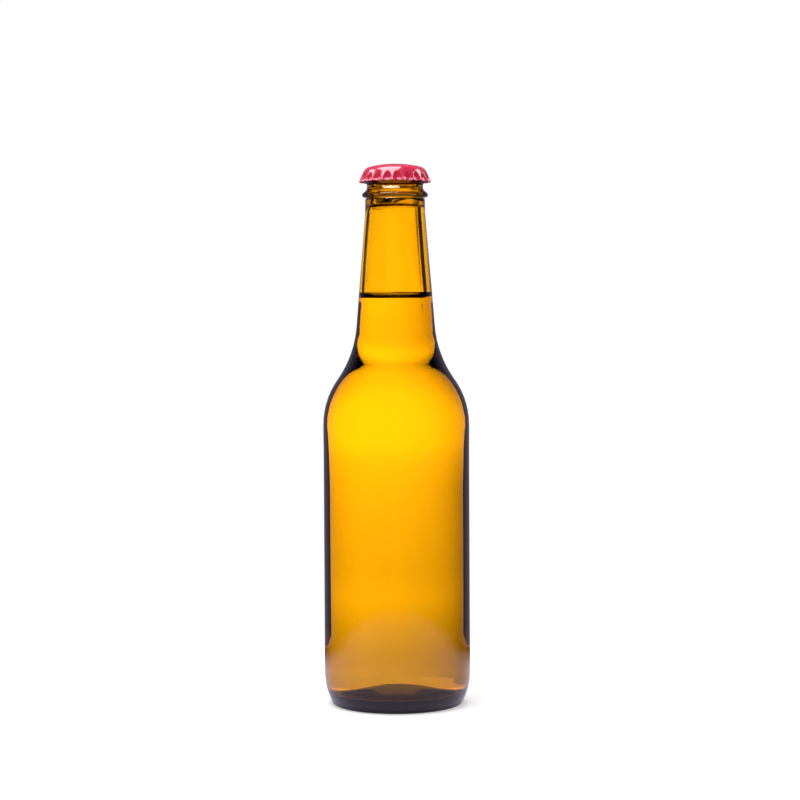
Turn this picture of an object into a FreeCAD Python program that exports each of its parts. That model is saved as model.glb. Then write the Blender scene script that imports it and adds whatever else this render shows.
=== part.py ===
import FreeCAD, Part
import math
import os

# Capped long-neck glass bottle, filled, in millimetres.
# It stands on Z = 0 with its axis on Z. Outlines lie in the plane of radius and height, and are
# turned round the axis. Heights of the crown finish count down from the lip, those of the body up
# from the foot.

# Glass, outside
glass_height = 226.2
body_diameter = 61.8
shoulder_base = 118.6
shoulder_radius = 32.9
shoulder_band = 5.2
label_recess = 0.2
label_blend = 4.0
heel_band = 10.3
neck_root_radius = 44.8
neck_diameter = 25.2
neck_taper = 4.67

# Crown finish: lip, throat, carrying ring and collar, from the top down
lip_diameter = 26.6
lip_round = 2.5
lip_height = 6.3
lip_overhang = 1.5
mouth_round = 1.0
mouth_flat = 0.3
finish_height = 12.2
ring_overhang = 1.35
ring_edge = 1.0
ring_slope = 50.0
throat_fillet = 2.0
groove_height = 0.5
groove_depth = 0.85
collar_height = 5.0
collar_edge = 0.4

# Glass, inside
bore_diameter = 16.8
bore_depth = 14.6
bore_flare = 1.7
neck_wall = 2.6
body_wall = 2.2
base_wall = 4.2
inner_heel_radius = 12.5

# Foot
heel_top = 13.7
heel_radius = 28.0
foot_round = 2.0
standing_ring = 3.6
push_up = 3.4

# Drink
headspace = 54.6
meniscus_radius = 3.6
meniscus_reach = 3.5
drink_gap = 0.04

# Crown
sheet = 0.25
dome_radius = 46.0
corner_room = 0.85
crown_height = 7.7
skirt_flare = 25.0
flute_count = 21
flute_depth = 1.3
flute_top = 3.9
ridge_width = 0.35

# Liner
seat_gap = 0.05
liner_gap = 0.02
liner_thickness = 0.5
seal_height = 0.75
seal_width = 2.2
seal_overhang = 0.1

# Worked out from those
body_radius = body_diameter / 2
neck_radius = neck_diameter / 2
lip_radius = lip_diameter / 2
bore_radius = bore_diameter / 2
taper = math.radians(neck_taper)
collar_top = glass_height - finish_height
neck_top = collar_top - collar_height
ring_bottom = collar_top + groove_height
lip_bottom = glass_height - lip_height
fill_level = glass_height - headspace
mouth_edge = min(mouth_round, lip_radius - bore_radius - lip_round - mouth_flat)

# The heel's arc and the foot's rounding meet on the line through their centres.
heel_centre = (body_radius - heel_radius, heel_top)
foot_reach = math.sqrt((heel_radius - foot_round) ** 2 - (heel_top - foot_round) ** 2)
foot_centre = (heel_centre[0] + foot_reach, foot_round)
push_up_reach = foot_centre[0] - standing_ring
push_up_radius = (push_up_reach**2 + push_up**2) / (2 * push_up)
push_up_centre = (0, push_up - push_up_radius)

# The crown hangs from the lip's top face, with the liner's seal ring between them.
seal_face = glass_height + seat_gap
seal_radius = lip_radius - lip_round + seal_overhang
dome_rise = dome_radius - math.sqrt(dome_radius**2 - seal_radius**2)
crown_top = seal_face + seal_height + liner_gap + sheet + dome_rise
crown_rim = crown_top - crown_height
crown_corner = lip_round + corner_room + sheet
dome_centre = (0, crown_top - dome_radius)


def at(point):
    """A point of radius and height as a vector."""
    return FreeCAD.Vector(point[0], 0, point[1])


def line(start, end):
    """A straight edge between two points of radius and height."""
    return Part.LineSegment(at(start), at(end)).toShape()


def on_circle(centre, radius, angle):
    """The point of a circle at an angle in radians, from outwards (0) to upwards."""
    return (centre[0] + radius * math.cos(angle), centre[1] + radius * math.sin(angle))


def arc(centre, radius, first, last):
    """An arc about a centre between two angles in radians."""
    points = [on_circle(centre, radius, a) for a in (first, (first + last) / 2, last)]
    return Part.Arc(at(points[0]), at(points[1]), at(points[2])).toShape()


def heading(start, end):
    """The angle in radians from one point to another."""
    return math.atan2(end[1] - start[1], end[0] - start[0])


def step(start, end):
    """Two equal arcs that lead from one upright wall to another without a crease."""
    across = end[0] - start[0]
    along = end[1] - start[1]
    middle = (start[0] + across / 2, start[1] + along / 2)
    radius = (across**2 + along**2) / (4 * abs(across))
    side = math.copysign(radius, across)
    edges = []
    for point, centre in ((start, (start[0] + side, start[1])), (end, (end[0] - side, end[1]))):
        first = heading(centre, point)
        swing = math.remainder(heading(centre, middle) - first, 2 * math.pi)
        edges.append(arc(centre, radius, first, first + swing))
    return edges


def turned(first, last, edges):
    """The solid that a chain of edges sweeps round the axis, from its first to its last point."""
    closing = [line((0, last[1]), (0, first[1]))]
    for point in (first, last):
        if point[0] > 0:
            closing.append(line(point, (0, point[1])))
    outline = Part.Wire(Part.__sortEdges__(edges + closing))
    return Part.Face(outline).revolve(FreeCAD.Vector(0, 0, 0), FreeCAD.Vector(0, 0, 1), 360)


def cone_radius(inset, height):
    """The neck's radius at a height, inset into the glass square to its surface."""
    return neck_radius + (neck_top - height) * math.tan(taper) - inset / math.cos(taper)


def shoulder_and_neck(inset_body, inset_neck, top):
    """The shoulder, the neck's root and the neck's cone, up to a height, inset into the glass."""
    outwards = (math.cos(taper), math.sin(taper))
    downwards = (math.sin(taper), -math.cos(taper))
    cone_head = (cone_radius(inset_neck, top), top)
    shoulder = (body_radius - shoulder_radius, shoulder_base)
    convex = shoulder_radius - inset_body
    concave = neck_root_radius + inset_neck
    # The root's centre lies one root radius off the cone and one sum of radii off the shoulder's.
    start = [cone_head[k] + concave * outwards[k] - shoulder[k] for k in (0, 1)]
    half = start[0] * downwards[0] + start[1] * downwards[1]
    rest = start[0] ** 2 + start[1] ** 2 - (convex + concave) ** 2
    run = -half - math.sqrt(half**2 - rest)
    root = tuple(shoulder[k] + start[k] + run * downwards[k] for k in (0, 1))
    meet = heading(shoulder, root)
    return [
        arc(shoulder, convex, 0, meet),
        arc(root, concave, meet + math.pi, taper + math.pi),
        line(on_circle(root, concave, taper + math.pi), cone_head),
    ]


def foot():
    """The push-up, the standing ring and the heel, up to the widest line of the heel."""
    meet = heading(heel_centre, foot_centre)
    push_up_end = heading(push_up_centre, (push_up_reach, 0))
    return [
        arc(push_up_centre, push_up_radius, math.pi / 2, push_up_end),
        line((push_up_reach, 0), (foot_centre[0], 0)),
        arc(foot_centre, foot_round, -math.pi / 2, meet),
        arc(heel_centre, heel_radius, meet, 0),
    ]


def body():
    """The wall from the heel to the shoulder, with a shallow panel between two wider bands."""
    panel = body_radius - label_recess
    low = heel_top + heel_band
    high = shoulder_base - shoulder_band
    return [
        line((body_radius, heel_top), (body_radius, low)),
        *step((body_radius, low), (panel, low + label_blend)),
        line((panel, low + label_blend), (panel, high - label_blend)),
        *step((panel, high - label_blend), (body_radius, high)),
        line((body_radius, high), (body_radius, shoulder_base)),
    ]


def finish():
    """The collar, the carrying ring, the throat and the lip that the crown seats on."""
    collar_round = (neck_radius - collar_edge, collar_top - collar_edge)
    groove = neck_radius - groove_depth
    ring = (neck_radius + ring_overhang - ring_edge, ring_bottom + ring_edge)
    slope = math.radians(ring_slope)
    ring_end = on_circle(ring, ring_edge, slope)
    throat = lip_radius - lip_overhang
    ring_top = ring_end[1] + (ring_end[0] - throat) / math.tan(slope)
    # A hollow rounding leads from the ring's slope up into the throat.
    fillet = (throat + throat_fillet, ring_top + throat_fillet * math.tan(slope / 2))
    fillet_start = on_circle(fillet, throat_fillet, slope + math.pi)
    lip = (lip_radius - lip_round, glass_height - lip_round)
    return [
        line((neck_radius, neck_top), (neck_radius, collar_round[1])),
        arc(collar_round, collar_edge, 0, math.pi / 2),
        line((collar_round[0], collar_top), (groove, collar_top)),
        line((groove, collar_top), (groove, ring_bottom)),
        line((groove, ring_bottom), (ring[0], ring_bottom)),
        arc(ring, ring_edge, -math.pi / 2, slope),
        line(ring_end, fillet_start),
        arc(fillet, throat_fillet, slope + math.pi, math.pi),
        line((throat, fillet[1]), (throat, lip_bottom)),
        line((throat, lip_bottom), (lip_radius, lip_bottom + lip_overhang)),
        line((lip_radius, lip_bottom + lip_overhang), (lip_radius, lip[1])),
        arc(lip, lip_round, 0, math.pi / 2),
        line((lip[0], glass_height), (bore_radius + mouth_edge, glass_height)),
    ]


def cavity(inset):
    """The hollow of the bottle as a solid, inset from the glass."""
    wall = body_radius - body_wall - inset
    corner = inner_heel_radius - inset
    dome = push_up_radius + base_wall + inset
    across = wall - corner
    heel = (across, push_up_centre[1] + math.sqrt((dome + corner) ** 2 - across**2))
    meet = heading(push_up_centre, heel)
    bore = bore_radius - inset
    bore_bottom = glass_height - bore_depth
    flare_bottom = bore_bottom - bore_flare
    mouth = (bore_radius + mouth_edge, glass_height - mouth_edge)
    flare_start = (cone_radius(neck_wall + inset, flare_bottom), flare_bottom)
    edges = [
        arc(push_up_centre, dome, math.pi / 2, meet),
        arc(heel, corner, meet - math.pi, 0),
        line((wall, heel[1]), (wall, shoulder_base)),
        *shoulder_and_neck(body_wall + inset, neck_wall + inset, flare_bottom),
        *step(flare_start, (bore, bore_bottom)),
        line((bore, bore_bottom), (bore, mouth[1])),
        arc(mouth, mouth_edge + inset, math.pi, math.pi / 2),
    ]
    return turned(on_circle(push_up_centre, dome, math.pi / 2), (mouth[0], glass_height + inset), edges)


def bottle_glass():
    """The bottle: its outside turned as one solid, less its hollow."""
    edges = [*foot(), *body(), *shoulder_and_neck(0, 0, neck_top), *finish()]
    return turned((0, push_up), (bore_radius + mouth_edge, glass_height), edges).cut(cavity(0))


def drink():
    """The filling, with its surface drawn up at the wall."""
    edge = cone_radius(neck_wall + drink_gap, fill_level) - meniscus_reach
    rim = (edge + meniscus_radius, fill_level + meniscus_radius)
    brim = (rim[0], glass_height + drink_gap)
    air = [
        line((0, fill_level), (edge, fill_level)),
        arc((edge, rim[1]), meniscus_radius, -math.pi / 2, 0),
        line(rim, brim),
    ]
    return cavity(drink_gap).cut(turned((0, fill_level), brim, air))


def crown_form(inset, floor):
    """The crown as a filled solid, inset by a thickness, down to a floor, with its flutes."""
    dome_end = math.acos(seal_radius / dome_radius)
    corner = on_circle(dome_centre, dome_radius - crown_corner, dome_end)
    flare = math.radians(skirt_flare)
    skirt_head = on_circle(corner, crown_corner - inset, flare)
    skirt_foot = (skirt_head[0] + (skirt_head[1] - floor) * math.tan(flare), floor)
    edges = [
        arc(dome_centre, dome_radius - inset, math.pi / 2, dome_end),
        arc(corner, crown_corner - inset, dome_end, flare),
        line(skirt_head, skirt_foot),
    ]
    form = turned((0, crown_top - inset), skirt_foot, edges)
    return form.cut(flutes(corner, flare, inset))


def flutes(corner, flare, inset):
    """Round bars that scoop the skirt between its ridges, from nothing to full depth at the rim."""
    head = on_circle(corner, crown_corner, flare)
    top_radius = head[0] + (head[1] - (crown_top - flute_top)) * math.tan(flare)
    rim_radius = head[0] + (head[1] - crown_rim) * math.tan(flare)
    chord = 2 * math.pi * rim_radius / flute_count - ridge_width
    radius = (chord**2 / 4 + flute_depth**2) / (2 * flute_depth)
    top = at((top_radius, crown_top - flute_top))
    along = (at((rim_radius - flute_depth, crown_rim)) - top).normalize()
    outwards = FreeCAD.Vector(-along.z, 0, along.x)
    start = top - along * crown_height + outwards * radius
    bar = Part.makeCylinder(radius + inset, 3 * crown_height, start, along)
    bars = []
    for k in range(flute_count):
        bars.append(bar.rotated(FreeCAD.Vector(0, 0, 0), FreeCAD.Vector(0, 0, 1), 360 * k / flute_count))
    return bars


def crown_shell():
    """The pressed crown: the outer form less the same form one sheet further in."""
    return crown_form(0, crown_rim).cut(crown_form(sheet, crown_rim - sheet))


def crown_liner():
    """The liner: a thin skin under the dome with a ring that lies on the lip."""
    outer = dome_radius - sheet - liner_gap
    inner = outer - liner_thickness
    ring = seal_radius - seal_width
    outer_end = math.acos(seal_radius / outer)
    inner_end = math.acos(ring / inner)
    edges = [
        arc(dome_centre, outer, math.pi / 2, outer_end),
        line(on_circle(dome_centre, outer, outer_end), (seal_radius, seal_face)),
        line((seal_radius, seal_face), (ring, seal_face)),
        line((ring, seal_face), on_circle(dome_centre, inner, inner_end)),
        arc(dome_centre, inner, inner_end, math.pi / 2),
    ]
    return turned((0, dome_centre[1] + outer), (0, dome_centre[1] + inner), edges)


os.makedirs("parts", exist_ok=True)
pieces = {
    "bottle_glass": bottle_glass(),
    "drink": drink(),
    "crown_shell": crown_shell(),
    "crown_liner": crown_liner(),
}
for name, shape in pieces.items():
    shape.exportStep("parts/" + name + ".step")
    print(name, len(shape.Solids), shape.isValid(), round(shape.Volume), shape.optimalBoundingBox())
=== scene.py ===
"""Dresses a filled long-neck glass bottle with a crown cap, and sets a plain studio round it."""

import math

import bpy
import numpy as np
from bpy.props import FloatProperty, FloatVectorProperty, IntProperty, PointerProperty
from mathutils import Matrix, Vector


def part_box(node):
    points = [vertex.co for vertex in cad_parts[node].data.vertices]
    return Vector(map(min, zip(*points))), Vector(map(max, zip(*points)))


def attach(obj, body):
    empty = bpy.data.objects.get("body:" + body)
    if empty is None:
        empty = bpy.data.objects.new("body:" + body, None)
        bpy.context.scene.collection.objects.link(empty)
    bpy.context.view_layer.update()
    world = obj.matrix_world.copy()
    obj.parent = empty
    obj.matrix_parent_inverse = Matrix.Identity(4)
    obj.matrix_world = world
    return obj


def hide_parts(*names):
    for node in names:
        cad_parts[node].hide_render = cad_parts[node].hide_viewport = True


bl_info = {
    "name": "Capped glass bottle",
    "version": (1, 0, 0),
    "blender": (4, 5, 0),
    "location": "View3D > Sidebar > Bottle",
    "description": "Makes a filled amber glass bottle, its crown cap and a plain studio",
    "category": "Add Mesh",
}

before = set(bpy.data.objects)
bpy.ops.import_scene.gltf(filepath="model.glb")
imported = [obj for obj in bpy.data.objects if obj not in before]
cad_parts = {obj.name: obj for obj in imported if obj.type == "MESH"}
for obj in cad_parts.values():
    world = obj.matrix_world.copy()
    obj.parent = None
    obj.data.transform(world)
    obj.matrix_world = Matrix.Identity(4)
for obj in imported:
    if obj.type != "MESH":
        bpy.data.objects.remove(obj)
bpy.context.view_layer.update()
MM = 0.001

# Heights and reaches that come from the frame
GLASS_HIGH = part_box("bottle_glass")[1]
SHELL_LOW, SHELL_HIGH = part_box("crown_shell")
LINER_LOW, LINER_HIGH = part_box("crown_liner")

# The glass outside, below the crown finish
SHOULDER_BASE = 118.6 * MM
SHOULDER_RADIUS = 32.9 * MM
SHOULDER_BAND = 5.2 * MM
LABEL_RECESS = 0.06 * MM
LABEL_BLEND = 4.0 * MM
HEEL_BAND = 10.3 * MM
HEEL_TOP = 13.7 * MM
HEEL_RADIUS = 28.0 * MM
FOOT_ROUND = 2.0 * MM
STANDING_RING = 3.6 * MM
PUSH_UP = 3.4 * MM
NECK_ROOT_RADIUS = 44.8 * MM
NECK_TAPER = math.radians(4.67)

# The crown finish, counted down from the lip
LIP_DIAMETER = 26.6 * MM
LIP_ROUND = 2.5 * MM
LIP_HEIGHT = 6.3 * MM
LIP_OVERHANG = 1.5 * MM
MOUTH_ROUND = 1.0 * MM
FINISH_HEIGHT = 12.2 * MM
RING_OVERHANG = 1.35 * MM
RING_EDGE = 1.0 * MM
RING_SLOPE = math.radians(50)
THROAT_TAPER = math.radians(15)
THROAT_HEIGHT = 1.2 * MM
GROOVE_HEIGHT = 0.5 * MM
GROOVE_DEPTH = 0.85 * MM
COLLAR_HEIGHT = 5.0 * MM
COLLAR_EDGE = 0.4 * MM
FIRE_POLISH = 0.2 * MM

# The glass inside
BORE_DEPTH = 14.6 * MM
BORE_FLARE = 1.7 * MM
INNER_HEEL_RADIUS = 6.0 * MM
INNER_BASE_RADIUS = 50 * MM

# The blown inside is uneven: lobes by depth, count, start and twist per metre, from a radius outwards
LOBES = ((0.10 * MM, 1, -2.2, 14), (0.07 * MM, 2, 1.0, -31), (0.05 * MM, 3, -0.6, 53))
LOBES_START = 6 * MM
LOBES_BLEND = 6 * MM
LOBES_END = (209.5 * MM, 212 * MM)

# In the neck it also stands off the axis: heights, and how far it stands off along X
LEAN_HEIGHTS = (130 * MM, 185 * MM, 209 * MM, 212 * MM)
LEANS = (0, -0.6 * MM, -0.6 * MM, 0)

# How finely outlines are drawn and turned
OUTLINE_STEP = 0.1 * MM
RING_TURN = math.radians(6)
RING_SPACING = 3.0 * MM
AROUND = 240
SEAM_TURNS = [math.radians(a) for a in (0.25, 0.5, 0.9, 1.4)]

# The two halves of the mould meet at these angles, counted from +X
SEAM_ANGLES = (math.radians(-45), math.radians(135))
SEAM_HEIGHT = 0.05 * MM
SEAM_WIDTH = 0.4 * MM
SEAM_STEPS = (1 * MM, 5 * MM, 165 * MM, 180 * MM)
SEAM_SHARES = (0, 0.3, 0.3, 1)

# The push-up is stippled by the mould, and this share of it is a dull dark brown: painted shade for the
# dark floor under the base
STIPPLE_AND_SHADE = 0.8

# Glass that the drink wets has no mirror of its own, and of the base's inside this share has none
BASE_WETTING = 0.7
BASE_WETTING_STEPS = (10 * MM, 14 * MM)
GLASS_INDEX = 1.52
DRINK_INDEX = 1.345

# The drink reaches this far into the wall, so that no air lies between the two
WETTING = 0.04 * MM
MENISCUS_RADIUS = 3.6 * MM
MENISCUS_REACH = 3.5 * MM
CONTACT_STEP = 0.05 * MM
STILL_RINGS = 6

# The crown and its liner
SHEET = 0.25 * MM
SHEET_EDGE = 0.05 * MM
SHEET_SPACING = 0.25 * MM
DOME_RADIUS = 46.0 * MM
CROWN_CORNER = 3.6 * MM
SKIRT_FLARE = math.radians(25)
FLUTE_TOP = 3.9 * MM
FLUTE_ROUND = 2.39 * MM
FLUTE_STEPS = 20
RIDGE_EASE = 0.07 * MM
RIM_KICK = 1.6 * MM
RIM_CURL = 0.2 / MM
LINER_THICKNESS = 0.5 * MM
SEAL_WIDTH = 2.2 * MM
LINER_EDGE = 0.1 * MM

# The floor: how far forwards its middle lies, as a share of its radius, and the reach of the painted shadow
# at its foot
FLOOR_FORWARD = 0.42
FLOOR_SIDES = 96
FLOOR_LIFT = 0.45
FOOT_SHADE = (26 * MM, 30 * MM)

# The floor in gloss is a painted reflection: its level, painted to fall off towards the camera, and the
# share where its edge fades
FLOOR_GLOSS = 0.95
FLOOR_GLOSS_STEPS = (-420 * MM, -20 * MM)
FLOOR_GLOSS_EDGE = 0.7

# The floor as seen through the glass, painted: its level by the share of a reach, dark under the foot and
# bright in a ring just outside it, and the level's gain
FLOOR_PAINTED_LIGHT = ((0, 0), (0.27, 0), (0.3, 0.9), (0.42, 0.85), (0.5, 0.6), (0.58, 0.5), (0.7, 0.395), (1, 0.36))
FLOOR_GLOW_REACH = 100 * MM
FLOOR_GLOW_GAIN = 3.0

# The paper: heights of its near, far and roof sheets in millimetres, and their shares of its radius
NEAR_PAPER = range(0, 179, 4)
FAR_PAPER = range(176, 481, 4)
ROOF_PAPER = range(226, 341, 6)
FAR_REACH = 10
ROOF_REACH = 0.7
LEDGE_REACH = 3
PAPER_COLUMNS = 720

# The paper's level by millimetres of height, and its shade by degrees round the body and the neck
PAPER_LEVELS = (
    *((0, 0.4), (7, 0.43), (19, 0.53), (33, 0.72), (47, 0.67), (75, 0.77), (97, 0.89), (109, 1.07)),
    *((120, 1.07), (130, 0.9), (140, 0.85), (156, 0.88), (165, 0.94), (178, 0.95), (205, 0.9), (282, 0.86)),
)
BODY_SHADES = (
    *((-45, 0.6), (-22.5, 0.47), (-13.5, 0.68), (-6, 0.84)),
    *((0, 1.01), (5.5, 1.11), (18.5, 1), (45, 0.6)),
)
BODY_SHADE_STEPS = (85 * MM, 109 * MM)
NECK_WAVE = 0.22
NECK_WAVE_START = math.radians(17)
ROOF_STEPS = (240 * MM, 280 * MM)
ROOF_GAIN = 1.6

# The dark panels at the diagonals: half their width in degrees by height, and where they begin
PANEL_STEPS = (262 * MM, 280 * MM)
PANEL_HALVES = (12, 15)
PANEL_EDGE = 0.5
PANEL_DEPTH = 0.98
PANEL_FOOT = (176 * MM, 178 * MM)

# The black cards: half their width in degrees by millimetres of height, and how far off they stand
CARD_HALVES = (
    *((15, 6), (21, 15.5), (90, 15.5), (112, 13.5), (119, 8)),
    *((128, 5), (138, 4), (146, 8), (152, 16.5), (172, 16.5)),
)
CARD_FOOT = 15 * MM
CARD_REACH = 1.55
CARD_LEVEL = 0.005

# The lights, in metres
KEY_LIGHT = {"size": (0.8, 0.8), "place": (-0.15, -0.1, 1.23), "target": (-0.15, -0.1, 0)}
GLOSS_LIGHT = {"size": (0.107, 0.1), "place": (-0.031, -0.04, 0.326), "target": (-0.031, -0.04, 0)}
THROAT_LIGHT = {"size": (0.075, 0.03), "place": (-0.016, -0.05, 0.249), "target": (0, 0, 0.217)}
THROAT_LIGHT_LOOK = {"spread": 90, "tint": "FFE6CC"}
RIM_LIGHT = {"size": (0.06, 0.06), "target": (0, 0, 0.223)}
RIM_LIGHT_PLACES = ((-0.14, 0.03, 0.31), (0.14, 0.03, 0.31))

# The camera, from the outline and the base's ellipse in the photograph of 800 by 800 pixels
CAMERA_DISTANCE = 862 * MM
CAMERA_HEIGHT = 156.7 * MM
CAMERA_LENS = 91.6
CAMERA_ROLL = math.radians(-0.3)
AIM_HEIGHT = 128.9 * MM
AIM_ASIDE = 1.65 * MM


def linear(hex_colour):
    """The linear red, green and blue of an sRGB hex value."""
    parts = [int(hex_colour[k : k + 2], 16) / 255 for k in (0, 2, 4)]
    return tuple(c / 12.92 if c <= 0.04045 else ((c + 0.055) / 1.055) ** 2.4 for c in parts)


class BottleGlassSettings(bpy.types.PropertyGroup):
    """Sizes and colour of the glass."""

    neck_diameter: FloatProperty(
        name="Neck diameter", description="Neck's width under the collar", default=25.2 * MM, unit="LENGTH"
    )
    bore_diameter: FloatProperty(
        name="Bore diameter", description="Width of the mouth", default=16.8 * MM, unit="LENGTH"
    )
    neck_wall: FloatProperty(
        name="Neck wall", description="Glass thickness in the neck", default=2.6 * MM, unit="LENGTH"
    )
    body_wall: FloatProperty(
        name="Body wall", description="Glass thickness in the body", default=2.2 * MM, unit="LENGTH"
    )
    base_wall: FloatProperty(
        name="Base wall", description="Glass thickness over the push-up", default=6.2 * MM, unit="LENGTH"
    )
    amber: FloatVectorProperty(
        name="Amber", description="Tint of one glass wall", default=linear("FFDF5D"), subtype="COLOR"
    )
    brown: FloatVectorProperty(
        name="Brown", description="Light that thick glass passes", default=linear("E5D800"), subtype="COLOR"
    )
    depth_of_colour: FloatProperty(
        name="Depth of colour", description="Share of the missing light taken per metre", default=560.0
    )


class BottleDrinkSettings(bpy.types.PropertyGroup):
    """Level and colour of the filling."""

    headspace: FloatProperty(
        name="Headspace", description="From the lip down to the drink", default=54.6 * MM, unit="LENGTH"
    )
    straw: FloatVectorProperty(
        name="Straw", description="Light that the drink passes", default=linear("FFF6D8"), subtype="COLOR"
    )
    depth_of_colour: FloatProperty(
        name="Depth of colour", description="Share of the missing light taken per metre", default=6.0
    )


class CrownSettings(bpy.types.PropertyGroup):
    """Flutes and colours of the crown."""

    flute_count: IntProperty(name="Flutes", description="Panels round the skirt", default=21)
    flute_depth: FloatProperty(
        name="Flute depth", description="How deep a panel is pressed", default=1.3 * MM, unit="LENGTH"
    )
    lacquer: FloatVectorProperty(
        name="Lacquer", description="Colour of the lacquer", default=linear("EE2C55"), subtype="COLOR"
    )
    liner: FloatVectorProperty(
        name="Liner", description="Colour of the moulded liner", default=linear("E9E7DE"), subtype="COLOR"
    )


class StudioSettings(bpy.types.PropertyGroup):
    """Levels of the studio's light."""

    backlight: FloatProperty(
        name="Backlight", description="Level of the white paper seen through the glass", default=2.6
    )
    fill_level: FloatProperty(name="Fill light", description="Level of the even light", default=0.35)
    key_power: FloatProperty(
        name="Key light", description="Power of the soft light from above", default=12.0, unit="POWER"
    )
    gloss_power: FloatProperty(
        name="Gloss light", description="Power of the box that gloss mirrors", default=0.41, unit="POWER"
    )
    throat_power: FloatProperty(
        name="Throat light", description="Power of the card under the crown", default=0.045, unit="POWER"
    )
    rim_power: FloatProperty(
        name="Rim lights", description="Power of each light beside the crown", default=0.1, unit="POWER"
    )
    paper_radius: FloatProperty(
        name="Paper radius", description="Reach of the paper all round", default=100 * MM, unit="LENGTH"
    )
    floor_radius: FloatProperty(
        name="Floor radius", description="Reach of the white floor", default=275 * MM, unit="LENGTH"
    )


# Outlines: lists of points of radius and height


def line(start, end):
    """Points of a straight run, without its last."""
    count = max(1, math.ceil(math.dist(start, end) / OUTLINE_STEP))
    across, along = end[0] - start[0], end[1] - start[1]
    return [(start[0] + across * k / count, start[1] + along * k / count) for k in range(count)]


def straights(*corners):
    """Points of straight runs from corner to corner, without the last."""
    return [point for start, end in zip(corners, corners[1:]) for point in line(start, end)]


def on_circle(centre, radius, angle):
    """The point of a circle at an angle, from outwards (0) to upwards."""
    return (centre[0] + radius * math.cos(angle), centre[1] + radius * math.sin(angle))


def arc(centre, radius, first, last):
    """Points of an arc between two angles, without its last."""
    count = max(2, math.ceil(abs(last - first) * radius / OUTLINE_STEP))
    return [on_circle(centre, radius, first + (last - first) * k / count) for k in range(count)]


def heading(start, end):
    """The angle from one point to another."""
    return math.atan2(end[1] - start[1], end[0] - start[0])


def step(start, end):
    """Two equal arcs that lead from one upright wall to another without a crease."""
    across = end[0] - start[0]
    along = end[1] - start[1]
    middle = (start[0] + across / 2, start[1] + along / 2)
    radius = (across**2 + along**2) / (4 * abs(across))
    side = math.copysign(radius, across)
    low = (start[0] + side, start[1])
    high = (end[0] - side, end[1])
    first = heading(low, start)
    swing = math.remainder(heading(low, middle) - first, math.tau)
    second = heading(high, middle)
    back = math.remainder(heading(high, end) - second, math.tau)
    return arc(low, radius, first, first + swing) + arc(high, radius, second, second + back)


def softened(points, reach):
    """The outline with its edges rounded over a reach, as fire-polished glass has them."""
    points = np.array(points)
    lengths = np.concatenate([[0], np.cumsum(np.linalg.norm(np.diff(points, axis=0), axis=1))])
    even = np.linspace(0, lengths[-1], math.ceil(lengths[-1] / OUTLINE_STEP))
    drawn = np.stack([np.interp(even, lengths, points[:, k]) for k in (0, 1)], axis=1)
    width = math.ceil(3 * reach / OUTLINE_STEP)
    weights = np.exp(-0.5 * (np.arange(-width, width + 1) * OUTLINE_STEP / reach) ** 2)
    weights /= weights.sum()
    # The outline goes on past its ends as its own mirror image in the axis.
    mirror = np.array([-1, 1])
    longer = np.concatenate([drawn[width:0:-1] * mirror, drawn, drawn[-2 : -width - 2 : -1] * mirror])
    rounded = np.stack([np.convolve(longer[:, k], weights, mode="valid") for k in (0, 1)], axis=1)
    rounded[0, 0] = rounded[-1, 0] = 0
    return rounded


def thinned(points, spacing=RING_SPACING):
    """The points where an outline turns, and some on its straight runs."""
    runs = np.diff(points, axis=0)
    turns = np.arctan2(runs[:, 1], runs[:, 0])
    kept = [0]
    turned_by = 0
    run = 0
    for k in range(1, len(points) - 1):
        turned_by += abs(math.remainder(turns[k] - turns[k - 1], math.tau))
        run += np.linalg.norm(runs[k - 1])
        if turned_by > RING_TURN or run > spacing:
            kept.append(k)
            turned_by = 0
            run = 0
    return points[kept + [len(points) - 1]]


def outward(points):
    """The direction across an outline at each point, to its right."""
    along = np.gradient(points, axis=0)
    along /= np.linalg.norm(along, axis=1, keepdims=True)
    return np.stack([along[:, 1], -along[:, 0]], axis=1)


def angles_around():
    """Angles for the rings, closer together at the mould seams."""
    even = [math.tau * k / AROUND for k in range(AROUND)]
    near = [seam + side * turn for seam in SEAM_ANGLES for turn in SEAM_TURNS for side in (-1, 1)]
    return np.array(sorted({round(a % math.tau, 9) for a in even + near}))


def new_object(name, mesh, material):
    """A smooth-shaded object of a mesh, with its material."""
    mesh.polygons.foreach_set("use_smooth", [True] * len(mesh.polygons))
    mesh.materials.append(material)
    made = bpy.data.objects.new(name, mesh)
    bpy.context.scene.collection.objects.link(made)
    return made


def turned(name, points, angles, shift=None, lean=None, marks=None):
    """A closed mesh from an outline that starts and ends on the axis.

    A shift moves its points outwards, a lean moves whole rings along X, and marks are named shares
    that a material reads, one for each ring."""
    sideways = outward(points)
    inner = points[1:-1]
    count = len(angles)
    rings = np.repeat(inner[:, None, :], count, axis=1)
    if shift is not None:
        rings = rings + shift(inner, angles)[:, :, None] * sideways[1:-1][:, None, :]
    aside = np.zeros(len(points)) if lean is None else lean
    across = rings[:, :, 0] * np.cos(angles) + aside[1:-1, None]
    corners = np.stack([across, rings[:, :, 0] * np.sin(angles), rings[:, :, 1]], axis=2).reshape(-1, 3)
    ends = np.array([[aside[0], 0, points[0][1]], [aside[-1], 0, points[-1][1]]])
    corners = np.concatenate([corners, ends])
    start, end = len(corners) - 2, len(corners) - 1
    last = (len(inner) - 1) * count
    faces = []
    for j in range(count):
        k = (j + 1) % count
        faces.append((start, k, j))
        faces.append((end, last + j, last + k))
        for i in range(0, last, count):
            faces.append((i + j, i + k, i + count + k, i + count + j))
    mesh = bpy.data.meshes.new(name)
    mesh.from_pydata(corners.tolist(), [], faces)
    mesh.update()
    for mark, shares in (marks or {}).items():
        spread = np.concatenate([np.repeat(shares[1:-1], count), shares[:1], shares[-1:]])
        mesh.attributes.new(mark, "FLOAT", "POINT").data.foreach_set("value", spread)
    return mesh


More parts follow.
